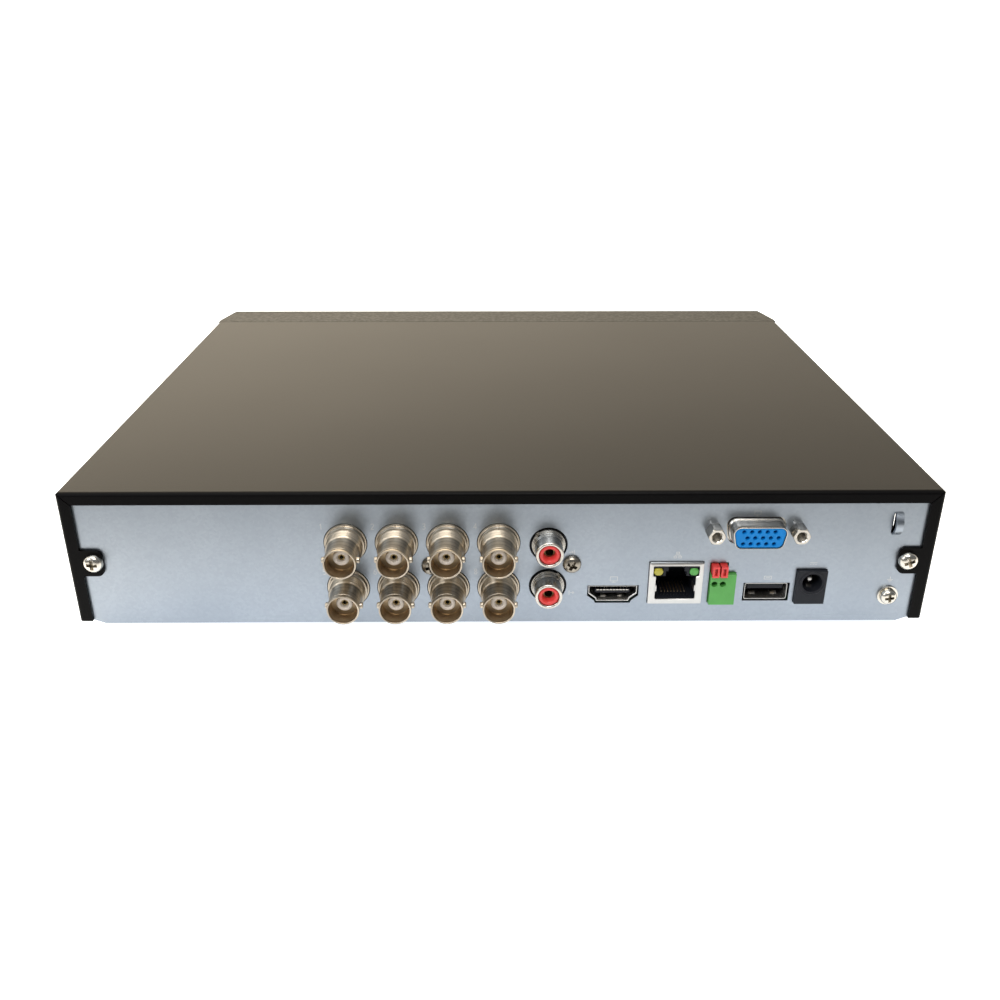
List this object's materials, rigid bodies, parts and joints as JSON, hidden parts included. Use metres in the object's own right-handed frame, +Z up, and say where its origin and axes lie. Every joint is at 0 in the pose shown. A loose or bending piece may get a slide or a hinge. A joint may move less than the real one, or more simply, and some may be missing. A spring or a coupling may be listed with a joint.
{
  "type": "dvr recorder",
  "caption": "Flat video recorder in a painted steel case with a galvanised connector panel of coaxial, audio, network and video sockets and a plastic front.",
  "frame": {"origin": "middle of the overall footprint, on the surface the feet stand on", "axes": "+X along the case's width, +Y out of the connector panel, +Z up; the plastic front faces -Y"},
  "size_m": [0.26, 0.225, 0.0476],
  "materials": {
    "galvanised_sheet": "satin, faint spangle",
    "painted_sheet": "satin powder coat, very dark brown-black",
    "plated_screws": "bright nickel plate",
    "dark_screws": "dull plated steel",
    "brass_posts": "machined",
    "front_plastic": "fine texture",
    "gloss_window": "polished",
    "clear_plastic": "clear, frosted end",
    "circuit_board": "solder mask",
    "bright_steel": "bright tin plate",
    "white_plastic": "moulded",
    "grey_ribbon": "ribbed",
    "foot_rubber": "matt",
    "black_plastic": "moulded",
    "chip_epoxy": "moulded epoxy",
    "capacitor_sleeve": "printed sleeve",
    "ferrite": "sintered",
    "bare_aluminium": "cast, satin",
    "drive_steel": "brushed",
    "red_lead": "extruded",
    "yellow_lead": "extruded",
    "socket_nickel": "warm satin nickel plate",
    "cream_insulator": "moulded",
    "contact_brass": "gilt, in shadow",
    "sleeve_nickel": "bright nickel plate",
    "red_plastic": "moulded",
    "lamp_plastic": "translucent",
    "green_plastic": "moulded",
    "blue_plastic": "moulded"
  },
  "bodies": {
    "chassis": {"base_chassis": "galvanised_sheet", "board_standoffs": "brass_posts", "front_bezel": "front_plastic", "front_window": "gloss_window", "light_pipes": "clear_plastic", "front_board": "circuit_board", "front_usb_shell": "bright_steel", "front_usb_tongue": "white_plastic", "front_board_screws": "plated_screws", "front_ribbon": "grey_ribbon", "rubber_feet": "foot_rubber", "foot_rivets": "black_plastic", "main_board": "circuit_board", "main_board_screws": "plated_screws", "processor": "chip_epoxy", "heatsink": "bare_aluminium", "board_chips": "chip_epoxy", "capacitors": "capacitor_sleeve", "inductors": "ferrite", "coin_cell": "bright_steel", "coin_cell_holder": "black_plastic", "buzzer": "black_plastic", "network_transformer": "black_plastic", "sata_header": "black_plastic", "power_header": "white_plastic", "drive_case": "bare_aluminium", "drive_lid": "drive_steel", "drive_board": "circuit_board", "drive_screws": "plated_screws", "data_lead": "red_lead", "power_lead": "yellow_lead", "bnc_block": "black_plastic", "bnc_shells": "socket_nickel", "bnc_insulators": "cream_insulator", "bnc_contacts": "contact_brass", "rca_block": "black_plastic", "rca_shells": "sleeve_nickel", "rca_insulators": "red_plastic", "panel_screws": "dark_screws", "video_port_shell": "bright_steel", "video_port_tongue": "black_plastic", "network_shield": "bright_steel", "network_housing": "black_plastic", "network_lamps": "lamp_plastic", "terminal_body": "green_plastic", "terminal_springs": "bright_steel", "usb_shell": "bright_steel", "usb_tongue": "black_plastic", "power_jack_body": "black_plastic", "power_jack_pin": "bright_steel", "vga_shell": "sleeve_nickel", "vga_insert": "blue_plastic", "jack_screws": "sleeve_nickel", "vga_riser": "black_plastic"},
    "cover": {"top_cover": "painted_sheet", "cover_screws": "plated_screws"},
    "lever_a": {"terminal_lever_a": "red_plastic"},
    "lever_b": {"terminal_lever_b": "red_plastic"},
    "earth_washer": {"earth_washer": "plated_screws"},
    "earth_screw": {"earth_screw": "plated_screws"}
  },
  "joints": [
    {"name": "cover_slide", "type": "slide", "parent": "chassis", "child": "cover", "axis": [0, 1, 0], "range_m": [0, 0.195]},
    {"name": "lever_a_press", "type": "slide", "parent": "chassis", "child": "lever_a", "axis": [0, -1, 0], "range_m": [0, 0.0015], "stiffness_N_per_m": 600, "springref_m": -0.0005},
    {"name": "lever_b_press", "type": "slide", "parent": "chassis", "child": "lever_b", "axis": [0, -1, 0], "range_m": [0, 0.0015], "stiffness_N_per_m": 600, "springref_m": -0.0005},
    {"name": "earth_washer_slide", "type": "slide", "parent": "chassis", "child": "earth_washer", "axis": [0, 1, 0], "range_m": [0, 0.0015]},
    {"name": "earth_screw_turn", "type": "hinge", "parent": "earth_washer", "child": "earth_screw", "pos_m": [-0.1184, 0.099, 0.0122], "axis": [0, 1, 0], "range_deg": [0, 1080]}
  ],
  "couplings": [
    {"joint": "earth_screw_turn", "follows": "earth_washer_slide", "rad_per_m": 12566}
  ]
}
